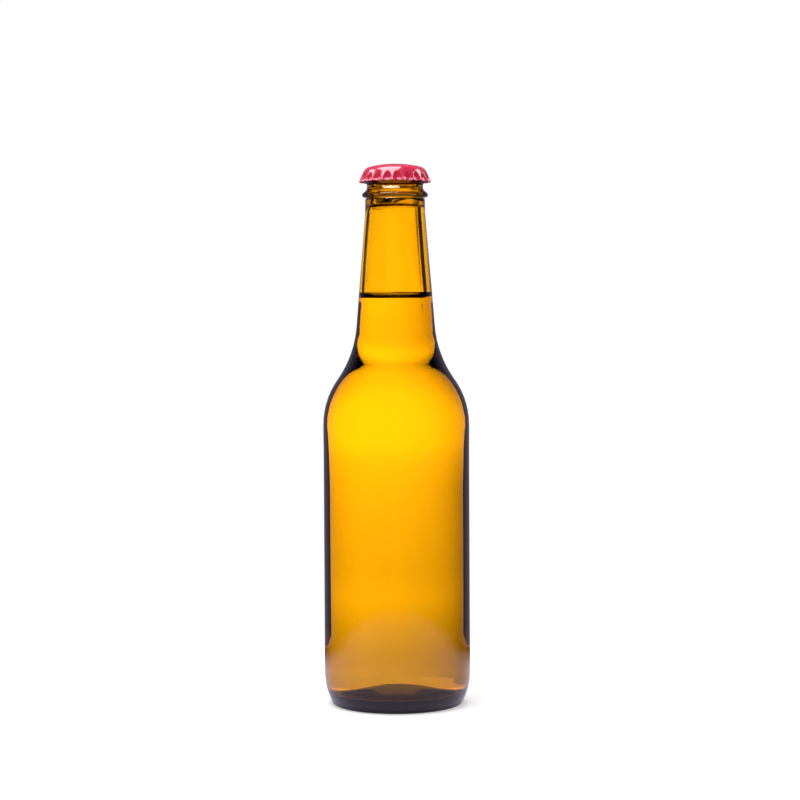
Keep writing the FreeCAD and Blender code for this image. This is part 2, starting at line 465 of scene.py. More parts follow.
def cone_radius(sizes, inset, height):
    """The neck's radius at a height, inset into the glass square to its surface."""
    top = GLASS_HIGH.z - FINISH_HEIGHT - COLLAR_HEIGHT
    return sizes.neck_diameter / 2 + (top - height) * math.tan(NECK_TAPER) - inset / math.cos(NECK_TAPER)


def shoulder_and_neck(sizes, inset_body, inset_neck, top):
    """The shoulder, the neck's root and the neck's cone, up to a height, inset into the glass."""
    outwards = (math.cos(NECK_TAPER), math.sin(NECK_TAPER))
    downwards = (math.sin(NECK_TAPER), -math.cos(NECK_TAPER))
    cone_head = (cone_radius(sizes, inset_neck, top), top)
    shoulder = (GLASS_HIGH.x - SHOULDER_RADIUS, SHOULDER_BASE)
    convex = SHOULDER_RADIUS - inset_body
    concave = NECK_ROOT_RADIUS + inset_neck
    start = [cone_head[k] + concave * outwards[k] - shoulder[k] for k in (0, 1)]
    half = start[0] * downwards[0] + start[1] * downwards[1]
    rest = start[0] ** 2 + start[1] ** 2 - (convex + concave) ** 2
    run = -half - math.sqrt(half**2 - rest)
    root = tuple(shoulder[k] + start[k] + run * downwards[k] for k in (0, 1))
    meet = heading(shoulder, root)
    return [
        *arc(shoulder, convex, 0, meet),
        *arc(root, concave, meet + math.pi, NECK_TAPER + math.pi),
        *line(on_circle(root, concave, NECK_TAPER + math.pi), cone_head),
    ]


def push_up_circle():
    """Centre and radius of the push-up under the base, and how far out it reaches."""
    heel = GLASS_HIGH.x - HEEL_RADIUS
    foot = heel + math.sqrt((HEEL_RADIUS - FOOT_ROUND) ** 2 - (HEEL_TOP - FOOT_ROUND) ** 2)
    reach = foot - STANDING_RING
    radius = (reach**2 + PUSH_UP**2) / (2 * PUSH_UP)
    return (0, PUSH_UP - radius), radius, reach, foot


def outside(sizes):
    """The glass from the middle of the push-up to the top of the lip."""
    body = GLASS_HIGH.x
    top = GLASS_HIGH.z
    heel = (body - HEEL_RADIUS, HEEL_TOP)
    push_up, push_up_radius, reach, foot_radius = push_up_circle()
    foot = (foot_radius, FOOT_ROUND)
    meet = heading(heel, foot)
    panel = body - LABEL_RECESS
    low = HEEL_TOP + HEEL_BAND
    high = SHOULDER_BASE - SHOULDER_BAND
    neck = sizes.neck_diameter / 2
    collar_top = top - FINISH_HEIGHT
    neck_top = collar_top - COLLAR_HEIGHT
    collar = (neck - COLLAR_EDGE, collar_top - COLLAR_EDGE)
    ring_bottom = collar_top + GROOVE_HEIGHT
    ring = (neck + RING_OVERHANG - RING_EDGE, ring_bottom + RING_EDGE)
    ring_end = on_circle(ring, RING_EDGE, RING_SLOPE)
    groove = neck - GROOVE_DEPTH
    lip = LIP_DIAMETER / 2
    throat = lip - LIP_OVERHANG
    ring_top = ring_end[1] + (ring_end[0] - throat) / math.tan(RING_SLOPE)
    lip_bottom = top - LIP_HEIGHT
    taper_top = lip_bottom - THROAT_HEIGHT
    steep, gentle = math.tan(RING_SLOPE), math.tan(THROAT_TAPER)
    bend = (steep * ring_top - gentle * taper_top) / (steep - gentle)
    taper_foot = (throat + (taper_top - bend) * gentle, bend)
    lip_round = (lip - LIP_ROUND, top - LIP_ROUND)
    mouth = sizes.bore_diameter / 2 + MOUTH_ROUND
    return [
        *arc(push_up, push_up_radius, math.pi / 2, heading(push_up, (reach, 0))),
        *line((reach, 0), (foot[0], 0)),
        *arc(foot, FOOT_ROUND, -math.pi / 2, meet),
        *arc(heel, HEEL_RADIUS, meet, 0),
        *line((body, HEEL_TOP), (body, low)),
        *step((body, low), (panel, low + LABEL_BLEND)),
        *line((panel, low + LABEL_BLEND), (panel, high - LABEL_BLEND)),
        *step((panel, high - LABEL_BLEND), (body, high)),
        *line((body, high), (body, SHOULDER_BASE)),
        *shoulder_and_neck(sizes, 0, 0, neck_top),
        *line((neck, neck_top), (neck, collar[1])),
        *arc(collar, COLLAR_EDGE, 0, math.pi / 2),
        *straights((collar[0], collar_top), (groove, collar_top), (groove, ring_bottom)),
        *line((groove, ring_bottom), (ring[0], ring_bottom)),
        *arc(ring, RING_EDGE, -math.pi / 2, RING_SLOPE),
        *straights(ring_end, taper_foot, (throat, taper_top), (throat, lip_bottom)),
        *straights((throat, lip_bottom), (lip, lip_bottom + LIP_OVERHANG), (lip, lip_round[1])),
        *arc(lip_round, LIP_ROUND, 0, math.pi / 2),
        *line((lip_round[0], top), (mouth, top)),
    ]


def inside(sizes):
    """The hollow from the top of the mouth down to the middle of the base."""
    top = GLASS_HIGH.z
    wall = GLASS_HIGH.x - sizes.body_wall
    dome = (0, PUSH_UP + sizes.base_wall - INNER_BASE_RADIUS)
    across = wall - INNER_HEEL_RADIUS
    heel = (across, dome[1] + math.sqrt((INNER_BASE_RADIUS + INNER_HEEL_RADIUS) ** 2 - across**2))
    meet = heading(dome, heel)
    bore = sizes.bore_diameter / 2
    bore_bottom = top - BORE_DEPTH
    flare_bottom = bore_bottom - BORE_FLARE
    mouth = (bore + MOUTH_ROUND, top - MOUTH_ROUND)
    flare_start = (cone_radius(sizes, sizes.neck_wall, flare_bottom), flare_bottom)
    upwards = [
        *arc(dome, INNER_BASE_RADIUS, math.pi / 2, meet),
        *arc(heel, INNER_HEEL_RADIUS, meet - math.pi, 0),
        *line((wall, heel[1]), (wall, SHOULDER_BASE)),
        *shoulder_and_neck(sizes, sizes.body_wall, sizes.neck_wall, flare_bottom),
        *step(flare_start, (bore, bore_bottom)),
        *line((bore, bore_bottom), (bore, mouth[1])),
        *arc(mouth, MOUTH_ROUND, math.pi, math.pi / 2),
    ]
    return upwards[::-1]


def contact_height(drink):
    """Where the drink's surface meets the wall: above its level by the climb of the meniscus."""
    climb = MENISCUS_RADIUS - math.sqrt(MENISCUS_RADIUS**2 - MENISCUS_REACH**2)
    return GLASS_HIGH.z - drink.headspace + climb


def glass_outline(sizes, drink):
    """The whole outline of the glass, with two rings at the contact line, and its first point inside."""
    outline = thinned(softened(outside(sizes) + inside(sizes), FIRE_POLISH))
    first_inside = int(np.argmax(outline[:, 1]))
    contact = contact_height(drink)
    below = first_inside + int(np.argmax(outline[first_inside:, 1] < contact))
    levels = (contact + CONTACT_STEP, contact - CONTACT_STEP)
    rings = [(cone_radius(sizes, sizes.neck_wall, level), level) for level in levels]
    return np.insert(outline, below, rings, axis=0), first_inside


def seam_shift(points, angles):
    """The mould seams, raised along the outside."""
    away = np.min(
        [np.abs([math.remainder(a - seam, math.tau) for a in angles]) for seam in SEAM_ANGLES], axis=0
    )
    distance = points[:, 0:1] * away[None, :]
    fade = np.interp(points[:, 1:2], SEAM_STEPS, SEAM_SHARES)
    return SEAM_HEIGHT * fade * np.exp(-((distance / SEAM_WIDTH) ** 2))


def wall_shift(points, angles):
    """The blown inside's slow unevenness: lobes that wander with height."""
    height = points[:, 1:2]
    turn = angles[None, :]
    lobes = 0
    for depth, count, start, twist in LOBES:
        lobes += depth * np.cos(count * turn + start + twist * height)
    fade = np.clip((points[:, 0:1] - LOBES_START) / LOBES_BLEND, 0, 1)
    return lobes * fade * np.interp(height, LOBES_END, [1, 0])


def hollow_lean(points):
    """How far the blown hollow stands off the axis in the neck, along X."""
    return np.interp(points[:, 1], LEAN_HEIGHTS, LEANS)


# Materials


def add(tree, kind, settings=None, values=None, links=None):
    """A node of a kind, with its settings, its input values and the sockets that feed it."""
    made = tree.nodes.new(kind)
    for name, value in (settings or {}).items():
        setattr(made, name, value)
    for name, value in (values or {}).items():
        made.inputs[name].default_value = value
    for name, source in (links or {}).items():
        tree.links.new(source, made.inputs[name])
    return made


def new_material(name):
    """An empty node material and its output node."""
    material = bpy.data.materials.new(name)
    material.use_nodes = True
    material.node_tree.nodes.clear()
    return material, material.node_tree, add(material.node_tree, "ShaderNodeOutputMaterial")


def cloud(tree, size, detail):
    """A soft noise with blotches of a size, fixed to the object."""
    place = add(tree, "ShaderNodeTexCoord")
    noise = add(
        tree,
        "ShaderNodeTexNoise",
        values={"Scale": 1 / size, "Detail": detail},
        links={"Vector": place.outputs["Object"]},
    )
    return noise.outputs["Fac"]


def calculated(tree, operation, *parts):
    """The outcome of a sum of sockets and numbers."""
    sums = add(tree, "ShaderNodeMath", {"operation": operation})
    for k, part in enumerate(parts):
        if isinstance(part, bpy.types.NodeSocket):
            tree.links.new(part, sums.inputs[k])
        else:
            sums.inputs[k].default_value = part
    return sums.outputs[0]


def mapped(tree, source, steps, levels=(0, 1), kind="LINEAR"):
    """A value carried over from two steps to two levels."""
    ends = dict(zip(("From Min", "From Max", "To Min", "To Max"), (*steps, *levels)))
    made = add(tree, "ShaderNodeMapRange", {"interpolation_type": kind}, ends, {"Value": source})
    return made.outputs["Result"]


def ramp(tree, source, stops):
    """Colours along a value, from stop to stop."""
    made = add(tree, "ShaderNodeValToRGB", links={"Fac": source})
    elements = made.color_ramp.elements
    for position, _ in stops[1:-1]:
        elements.new(position)
    for element, (position, colour) in zip(elements, stops):
        element.position = position
        element.color = (*colour, 1)
    return made.outputs["Color"]


def mixed(tree, share, first, second):
    """Two shaders mixed by the share of the second."""
    return add(tree, "ShaderNodeMixShader", links={0: share, 1: first, 2: second}).outputs["Shader"]


def clear_body(tree, output, tint, index, colour, density):
    """Clear stuff whose surface mirrors, apart from where glass and drink touch, and whose thickness
    takes colour from the light."""
    surface = add(
        tree,
        "ShaderNodeBsdfPrincipled",
        values={"Base Color": (*tint, 1), "Roughness": 0.0, "IOR": index, "Transmission Weight": 1.0},
    )
    one_way = [math.sqrt(c) for c in tint]
    through = add(
        tree, "ShaderNodeBsdfRefraction", values={"Color": (*one_way, 1), "Roughness": 0.0, "IOR": index}
    )
    wetted = add(tree, "ShaderNodeAttribute", {"attribute_name": "wetted"})
    clear = mixed(tree, wetted.outputs["Fac"], surface.outputs["BSDF"], through.outputs["BSDF"])
    depth = add(tree, "ShaderNodeVolumeAbsorption", values={"Color": (*colour, 1), "Density": density})
    tree.links.new(depth.outputs["Volume"], output.inputs["Volume"])
    return surface, clear


def amber_container_glass(settings):
    """Soda-lime glass coloured with iron and sulphur, blown in a mould: clear, deep amber in its
    thickness, with a faint ripple where it chilled against the iron and a dull, stippled push-up
    whose dark brown is painted shade for the floor under the base."""
    material, tree, output = new_material("moulded amber container glass")
    surface, clear = clear_body(
        tree, output, settings.amber, GLASS_INDEX, settings.brown, settings.depth_of_colour
    )
    bump = add(
        tree,
        "ShaderNodeBump",
        values={"Strength": 0.25, "Distance": 0.02 * MM},
        links={"Height": cloud(tree, 7 * MM, 1.0)},
    )
    tree.links.new(bump.outputs["Normal"], surface.inputs["Normal"])
    stipple_and_shade = add(tree, "ShaderNodeAttribute", {"attribute_name": "stipple_and_shade"})
    # Painted shade: a dull dark brown on the stippled push-up stands for the shaded floor under the base
    dull_painted_shade = add(tree, "ShaderNodeBsdfDiffuse", values={"Color": (*linear("4A3A34"), 1)})
    whole = mixed(tree, stipple_and_shade.outputs["Fac"], clear, dull_painted_shade.outputs["BSDF"])
    tree.links.new(whole, output.inputs["Surface"])
    return material


def clear_drink(settings):
    """A filtered sugary drink: water-clear, with a trace of straw colour across the whole body."""
    material, tree, output = new_material("clear straw-coloured drink")
    _, clear = clear_body(tree, output, (1, 1, 1), DRINK_INDEX, settings.straw, settings.depth_of_colour)
    tree.links.new(clear, output.inputs["Surface"])
    return material


def red_lacquer(settings):
    """Stoving lacquer on tinplate, rolled on before the crown was pressed: an even crimson under a
    hard gloss coat, with a faint roller texture and a little darker where the coat is thick."""
    material, tree, output = new_material("crimson lacquered tinplate")
    darker = [0.9 * c for c in settings.lacquer]
    shade = ramp(tree, cloud(tree, 3 * MM, 3.0), ((0.3, darker), (0.65, settings.lacquer)))
    bump = add(
        tree,
        "ShaderNodeBump",
        values={"Strength": 0.15, "Distance": 0.02 * MM},
        links={"Height": cloud(tree, 0.5 * MM, 2.0)},
    )
    surface = add(
        tree,
        "ShaderNodeBsdfPrincipled",
        values={"Roughness": 0.5, "Specular IOR Level": 0.1, "Coat Weight": 1.0, "Coat Roughness": 0.08},
        links={"Base Color": shade, "Normal": bump.outputs["Normal"]},
    )
    tree.links.new(surface.outputs["BSDF"], output.inputs["Surface"])
    return material


def liner_plastic(settings):
    """A compound moulded hot into the crown: soft, off-white and satin, with a faint flow mottle."""
    material, tree, output = new_material("moulded liner compound")
    darker = [0.9 * c for c in settings.liner]
    shade = ramp(tree, cloud(tree, 1.5 * MM, 3.0), ((0, darker), (1, settings.liner)))
    surface = add(tree, "ShaderNodeBsdfPrincipled", None, {"Roughness": 0.45}, {"Base Color": shade})
    tree.links.new(surface.outputs["BSDF"], output.inputs["Surface"])
    return material


# Pieces


class BOTTLE_OT_glass(bpy.types.Operator):
    """Makes the bottle: one closed glass wall with its crown finish, seams and push-up"""

    bl_idname = "bottle.make_glass"
    bl_label = "Make the glass"

    def execute(self, context):
        sizes = context.scene.bottle_glass
        outline, first_inside = glass_outline(sizes, context.scene.bottle_drink)
        numbers = np.arange(len(outline))
        contact = contact_height(context.scene.bottle_drink)
        wetted = (numbers > first_inside) & (outline[:, 1] < contact)

        def shift(points, angles):
            outer = seam_shift(points, angles)
            inner = -wall_shift(points, angles)
            return np.where(numbers[1:-1, None] > first_inside, inner, outer)

        lean = np.where(numbers > first_inside, hollow_lean(outline), 0)
        low = (numbers < first_inside) & (outline[:, 1] <= PUSH_UP)
        # The stippled underside also carries the painted shade under the base
        underside = low & (outline[:, 0] < push_up_circle()[2])
        cover = np.interp(outline[:, 1], BASE_WETTING_STEPS, [BASE_WETTING, 1])
        marks = {"wetted": np.where(wetted, cover, 0.0), "stipple_and_shade": np.where(underside, STIPPLE_AND_SHADE, 0.0)}
        mesh = turned("amber_bottle", outline, angles_around(), shift, lean, marks)
        piece = new_object("amber_bottle", mesh, amber_container_glass(sizes))
        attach(piece, "bottle")
        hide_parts("bottle_glass")
        return {"FINISHED"}


class BOTTLE_OT_drink(bpy.types.Operator):
    """Makes the drink: it wets the wall, and its surface climbs a little at the glass"""

    bl_idname = "bottle.make_drink"
    bl_label = "Make the drink"

    def execute(self, context):
        sizes = context.scene.bottle_glass
        settings = context.scene.bottle_drink
        level = GLASS_HIGH.z - settings.headspace
        outline, first_inside = glass_outline(sizes, settings)
        wall = outline[first_inside:][::-1]
        contact = contact_height(settings)
        wetted = wall[wall[:, 1] < contact]
        wetted = wetted + WETTING * outward(wetted)
        wetted[0, 0] = 0
        flat = cone_radius(sizes, sizes.neck_wall - WETTING, contact) - MENISCUS_REACH
        steepest = math.asin(MENISCUS_REACH / MENISCUS_RADIUS)
        centre = (flat, level + MENISCUS_RADIUS)
        curl = arc(centre, MENISCUS_RADIUS, steepest - math.pi / 2, -math.pi / 2)[::4]
        still = [(flat * k / STILL_RINGS, level) for k in range(STILL_RINGS, -1, -1)]
        points = np.array([*wetted, *curl, *still])
        on_wall = np.arange(len(points)) < len(wetted)

        def shift(inner, angles):
            return np.where(on_wall[1:-1, None], wall_shift(inner, angles), 0)

        marks = {"wetted": np.where(on_wall, 1.0, 0.0)}
        mesh = turned("drink_body", points, angles_around(), shift, hollow_lean(points), marks)
        piece = new_object("drink_body", mesh, clear_drink(settings))
        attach(piece, "bottle")
        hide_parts("drink")
        return {"FINISHED"}


def crown_side(inset):
    """The crown from the middle of its dome to its rim, inset by a thickness."""
    dome = (0, SHELL_HIGH.z - DOME_RADIUS)
    dome_end = math.acos(LINER_HIGH.x / DOME_RADIUS)
    corner = on_circle(dome, DOME_RADIUS - CROWN_CORNER, dome_end)
    head = on_circle(corner, CROWN_CORNER - inset, SKIRT_FLARE)
    rim = SHELL_LOW.z
    foot = (head[0] + (head[1] - rim) * math.tan(SKIRT_FLARE), rim)
    return [
        *arc(dome, DOME_RADIUS - inset, math.pi / 2, dome_end),
        *arc(corner, CROWN_CORNER - inset, dome_end, SKIRT_FLARE),
        *line(head, foot),
        foot,
    ]


def pressed_flutes():
    """A node tree that presses the flutes into a plain crown: round scoops that deepen down the
    skirt, with a narrow ridge between two of them and a turned-out edge at the rim."""
    tree = bpy.data.node_groups.new("pressed flutes", "GeometryNodeTree")
    face = tree.interface
    face.new_socket("Geometry", in_out="INPUT", socket_type="NodeSocketGeometry")
    named = {}
    kinds = {"Flutes": "Int", "Depth": "Float", "Round": "Float", "Top": "Float", "Rim": "Float"}
    for name, kind in (*kinds.items(), ("Lacquer", "Material")):
        socket = face.new_socket(name, in_out="INPUT", socket_type="NodeSocket" + kind)
        named[name] = socket.identifier
    face.new_socket("Geometry", in_out="OUTPUT", socket_type="NodeSocketGeometry")
    given = add(tree, "NodeGroupInput").outputs
    spot = add(tree, "GeometryNodeInputPosition")
    split = add(tree, "ShaderNodeSeparateXYZ", links={"Vector": spot.outputs["Position"]})
    known = {name: given[name] for name in kinds}
    known.update({name: split.outputs[name] for name in "XYZ"})
    # Each row is one sum: its name, what is done, and the numbers or earlier names that it takes.
    for name, operation, *parts in (
        ("x squared", "MULTIPLY", "X", "X"),
        ("radius squared", "MULTIPLY_ADD", "Y", "Y", "x squared"),
        ("radius", "SQRT", "radius squared"),
        ("turn", "ARCTAN2", "Y", "X"),
        ("share of a turn", "MULTIPLY", "turn", 1 / math.tau),
        ("panels along", "MULTIPLY_ADD", "share of a turn", "Flutes", 0.5),
        ("along a panel", "FRACT", "panels along"),
        ("off the middle", "SUBTRACT", "along a panel", 0.5),
        ("girth", "MULTIPLY", "radius", math.tau),
        ("pitch", "DIVIDE", "girth", "Flutes"),
        ("aside", "MULTIPLY", "off the middle", "pitch"),
        ("aside squared", "MULTIPLY", "aside", "aside"),
        ("round squared", "MULTIPLY", "Round", "Round"),
        ("left over", "SUBTRACT", "round squared", "aside squared"),
        ("left over at least", "MAXIMUM", "left over", 1e-8),
        ("reach", "SQRT", "left over at least"),
        ("sag", "SUBTRACT", "Round", "reach"),
        ("fall", "SUBTRACT", "Top", "Z"),
        ("skirt", "SUBTRACT", "Top", "Rim"),
        ("share of skirt", "DIVIDE", "fall", "skirt"),
        ("straight depth", "MULTIPLY", "share of skirt", "Depth"),
        ("above rim", "SUBTRACT", "Z", "Rim"),
        ("within kick", "SUBTRACT", RIM_KICK, "above rim"),
        ("kick", "MAXIMUM", "within kick", 0.0),
        ("kick squared", "MULTIPLY", "kick", "kick"),
        ("depth", "MULTIPLY_ADD", "kick squared", -RIM_CURL, "straight depth"),
        ("over", "SUBTRACT", "depth", "sag"),
        ("over squared", "MULTIPLY_ADD", "over", "over", RIDGE_EASE**2),
        ("eased", "SQRT", "over squared"),
        ("twice pressed", "ADD", "over", "eased"),
        ("pressed radius", "MULTIPLY_ADD", "twice pressed", -0.5, "radius"),
        ("drawn in", "DIVIDE", "pressed radius", "radius"),
        ("X", "MULTIPLY", "X", "drawn in"),
        ("Y", "MULTIPLY", "Y", "drawn in"),
    ):
        known[name] = calculated(tree, operation, *(known.get(part, part) for part in parts))
    place = add(tree, "ShaderNodeCombineXYZ", links={name: known[name] for name in "XYZ"})
    moved = add(
        tree,
        "GeometryNodeSetPosition",
        links={"Geometry": given["Geometry"], "Position": place.outputs["Vector"]},
    )
    real = add(tree, "GeometryNodeRealizeInstances", links={"Geometry": moved.outputs["Geometry"]})
    worn = add(
        tree,
        "GeometryNodeSetMaterial",
        links={"Geometry": real.outputs["Geometry"], "Material": given["Lacquer"]},
    )
    add(tree, "NodeGroupOutput", links={"Geometry": worn.outputs["Geometry"]})
    return tree, named


class BOTTLE_OT_crown(bpy.types.Operator):
    """Makes the crown: a pressed sheet with a dome, a rounded corner and a fluted skirt"""

    bl_idname = "bottle.make_crown"
    bl_label = "Make the crown"

    def execute(self, context):
        settings = context.scene.bottle_crown
        outline = crown_side(SHEET) + crown_side(0)[::-1]
        rings = thinned(softened(outline, SHEET_EDGE), SHEET_SPACING)
        count = settings.flute_count * FLUTE_STEPS
        plain = turned("crown_sheet", rings, np.arange(count) * math.tau / count)
        sheet = bpy.data.objects.new("crown_sheet", plain)
        context.scene.collection.objects.link(sheet)
        material = red_lacquer(settings)
        pressed = sheet.modifiers.new("Flutes", "NODES")
        pressed.node_group, named = pressed_flutes()
        pressed[named["Flutes"]] = settings.flute_count
        pressed[named["Depth"]] = settings.flute_depth
        pressed[named["Round"]] = FLUTE_ROUND
        pressed[named["Top"]] = SHELL_HIGH.z - FLUTE_TOP
        pressed[named["Rim"]] = SHELL_LOW.z
        pressed[named["Lacquer"]] = material
        evaluated = sheet.evaluated_get(context.evaluated_depsgraph_get())
        mesh = bpy.data.meshes.new_from_object(evaluated)
        mesh.materials.clear()
        bpy.data.objects.remove(sheet)
        piece = new_object("crown_cap", mesh, material)
        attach(piece, "crown")
        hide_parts("crown_shell")
        return {"FINISHED"}


class BOTTLE_OT_liner(bpy.types.Operator):
    """Makes the liner: a thin skin under the dome with a ring that seals on the lip"""

    bl_idname = "bottle.make_liner"
    bl_label = "Make the liner"

    def execute(self, context):
        settings = context.scene.bottle_crown
        dome = (0, SHELL_HIGH.z - DOME_RADIUS)
        outer = LINER_HIGH.z - dome[1]
        inner = outer - LINER_THICKNESS
        reach = LINER_HIGH.x
        seal = reach - SEAL_WIDTH
        outer_end = math.acos(reach / outer)
        inner_end = math.acos(seal / inner)
        face = LINER_LOW.z
        points = [
            *arc(dome, inner, math.pi / 2, inner_end),
            *straights(on_circle(dome, inner, inner_end), (seal, face), (reach, face)),
            *line((reach, face), on_circle(dome, outer, outer_end)),
            *arc(dome, outer, outer_end, math.pi / 2),
            (0, dome[1] + outer),
        ]
        mesh = turned("crown_seal", thinned(softened(points, LINER_EDGE)), angles_around())
        piece = new_object("crown_seal", mesh, liner_plastic(settings))
        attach(piece, "crown")
        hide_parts("crown_liner")
        return {"FINISHED"}


# Studio


def studio_world(settings):
    """White behind the bottle, an even light all round, and dark surroundings for glass and gloss."""
    world = bpy.data.worlds.new("studio")
    bpy.context.scene.world = world
    world.use_nodes = True
    tree = world.node_tree
    tree.nodes.clear()
    output = add(tree, "ShaderNodeOutputWorld")
    path = add(tree, "ShaderNodeLightPath").outputs
    place = add(tree, "ShaderNodeTexCoord")
    split = add(tree, "ShaderNodeSeparateXYZ", links={"Vector": place.outputs["Generated"]})
    mirrored = ramp(tree, split.outputs["Y"], ((0.3, linear("191719")), (0.8, linear("7F7688"))))
    shown = None
    for ray, level in (
        ("Is Diffuse Ray", settings.fill_level),
        ("Is Glossy Ray", mirrored),
        ("Is Transmission Ray", 0.02),
        ("Is Camera Ray", 1.0),
    ):
        mix = add(tree, "ShaderNodeMix", {"data_type": "RGBA"}, links={0: path[ray]})
        if shown:
            tree.links.new(shown, mix.inputs[6])
        if isinstance(level, float):
            mix.inputs[7].default_value = (level, level, level, 1)
        else:
            tree.links.new(level, mix.inputs[7])
        shown = mix.outputs[2]
    sky = add(tree, "ShaderNodeBackground", links={"Color": shown})
    tree.links.new(sky.outputs["Background"], output.inputs["Surface"])


def floor_finish(radius):
    """White card: lifted to white where it is looked at; in gloss a cool painted reflection with a painted
    shadow at the foot; through the glass a painted shadow under the foot and a painted bright ring round
    it.
    """
    material, tree, output = new_material("white floor card")
    path = add(tree, "ShaderNodeLightPath").outputs
    place = add(tree, "ShaderNodeTexCoord").outputs["Object"]
    length = add(tree, "ShaderNodeVectorMath", {"operation": "LENGTH"}, links={0: place})
    reach = length.outputs["Value"]
    card = add(tree, "ShaderNodeBsdfDiffuse", values={"Color": (0.9, 0.9, 0.9, 1)})
    level = calculated(tree, "MULTIPLY", path["Is Camera Ray"], FLOOR_LIFT)
    lift = add(tree, "ShaderNodeEmission", links={"Strength": level})
    seen = add(tree, "ShaderNodeAddShader", links={0: card.outputs["BSDF"], 1: lift.outputs["Emission"]})
    split = add(tree, "ShaderNodeSeparateXYZ", links={"Vector": place})
    middle = {1: (0, -FLOOR_FORWARD * radius, 0)}
    aside = add(tree, "ShaderNodeVectorMath", {"operation": "DISTANCE"}, middle, {0: place})
    edge = (FLOOR_GLOSS_EDGE * radius, radius)
    # Painted shadow and fall-off: the floor's reflection fades to its edge and towards the camera, and goes
    # dark at the foot
    fade = mapped(tree, aside.outputs["Value"], edge, (1, 0), "SMOOTHSTEP")
    foot = mapped(tree, reach, FOOT_SHADE)
    gloss_with_painted_shadow = mapped(tree, split.outputs["Y"], FLOOR_GLOSS_STEPS, (0, FLOOR_GLOSS))
    for share in (foot, fade):
        gloss_with_painted_shadow = calculated(tree, "MULTIPLY", gloss_with_painted_shadow, share)
    tint = (*linear("EDE4FF"), 1)
    mirrored = add(tree, "ShaderNodeEmission", None, {"Color": tint}, {"Strength": gloss_with_painted_shadow})
    # Painted light and shadow for rays through the glass: dark under the foot, a bright ring round it, then
    # an even level
    along = calculated(tree, "DIVIDE", reach, FLOOR_GLOW_REACH)
    near = ramp(tree, along, [(position, (glow,) * 3) for position, glow in FLOOR_PAINTED_LIGHT])
    through = add(tree, "ShaderNodeEmission", None, {"Strength": FLOOR_GLOW_GAIN}, {"Color": near})
    gloss = mixed(tree, path["Is Glossy Ray"], seen.outputs["Shader"], mirrored.outputs["Emission"])
    every = mixed(tree, path["Is Transmission Ray"], gloss, through.outputs["Emission"])
    tree.links.new(every, output.inputs["Surface"])
    return material


def paper_and_card():
    """Back-lit paper and matt black card: each point shines at the level written on it."""
    material, tree, output = new_material("back-lit paper and black card")
    level = add(tree, "ShaderNodeAttribute", {"attribute_name": "level"})
    glow = add(tree, "ShaderNodeEmission", links={"Strength": level.outputs["Fac"]})
    tree.links.new(glow.outputs["Emission"], output.inputs["Surface"])
    return material


def light_tent(sizes, settings, fill):
    """What is seen through the glass: white paper all round, and black cards close by.

    The paper stands near the body and far off behind the neck, with a ledge between the two on the
    camera's side and a roof round the crown. It is darkest at the floor, and dark at the diagonals
    behind the neck. The cards stand close to the filled part and leave gaps at every eighth of a
    turn; they draw its edges."""
    heights, levels = np.array(PAPER_LEVELS).T
    turns, shades = np.array(BODY_SHADES).T
    half_heights, halves = np.array(CARD_HALVES).T
    points, faces, shown = [], [], []

    def sheet(middle, columns, rows, level_at):
        first = len(points)
        for radius, height, half in rows:
            for k in range(columns + 1):
                turn = middle + half * (2 * k / columns - 1)
                points.append((radius * math.sin(turn), radius * math.cos(turn), height))
                shown.append(level_at(turn, height))
        for i in range(len(rows) - 1):
            for k in range(columns):
                a = first + i * (columns + 1) + k
                faces.append((a, a + 1, a + columns + 2, a + columns + 1))

    def paper_level(turn, height):
        low_down = np.interp(height, BODY_SHADE_STEPS, [1, 0])
        above = 1 + NECK_WAVE * math.sin(4 * turn + NECK_WAVE_START)
        below = np.interp(math.remainder(turn, math.pi / 2), np.radians(turns), shades)
        even = settings.backlight * np.interp(height, heights * MM, levels)
        even *= low_down * below + (1 - low_down) * above
        off_diagonal = abs(math.remainder(turn - math.pi / 4, math.pi / 2))
        half = np.interp(height, PANEL_STEPS, PANEL_HALVES)
        panel = 1 / (1 + math.exp((math.degrees(off_diagonal) - half) / PANEL_EDGE))
        return even * (1 - PANEL_DEPTH * panel * np.interp(height, PANEL_FOOT, [0, 1]))

    def roof_level(turn, height):
        return paper_level(turn, height) * np.interp(height, ROOF_STEPS, [1, ROOF_GAIN])

    def ledge_level(turn, height):
        return settings.backlight

    def card_level(turn, height):
        return CARD_LEVEL

    near = settings.paper_radius
    top = NEAR_PAPER[-1] * MM
    ledge = [(reach * near, top, math.pi / 2) for reach in (1, LEDGE_REACH)]
    sheet(math.pi, PAPER_COLUMNS // 8, ledge, ledge_level)
    for reach, rows, level_at in (
        (1, NEAR_PAPER, paper_level),
        (FAR_REACH, FAR_PAPER, paper_level),
        (ROOF_REACH, ROOF_PAPER, roof_level),
    ):
        sheet(0, PAPER_COLUMNS, [(reach * near, height * MM, math.pi) for height in rows], level_at)
    side = thinned(np.array(outside(sizes)))
    side = side[(side[:, 1] > CARD_FOOT) & (side[:, 1] < fill)]
    wide = np.radians(np.interp(side[:, 1], half_heights * MM, halves))
    card = [(CARD_REACH * radius, height, half) for (radius, height), half in zip(side, wide)]
    for eighth in range(8):
        sheet(math.radians(22.5 + 45 * eighth), 8, card, card_level)
    mesh = bpy.data.meshes.new("light_tent")
    mesh.from_pydata(points, [], faces)
    mesh.attributes.new("level", "FLOAT", "POINT").data.foreach_set("value", shown)
    return mesh


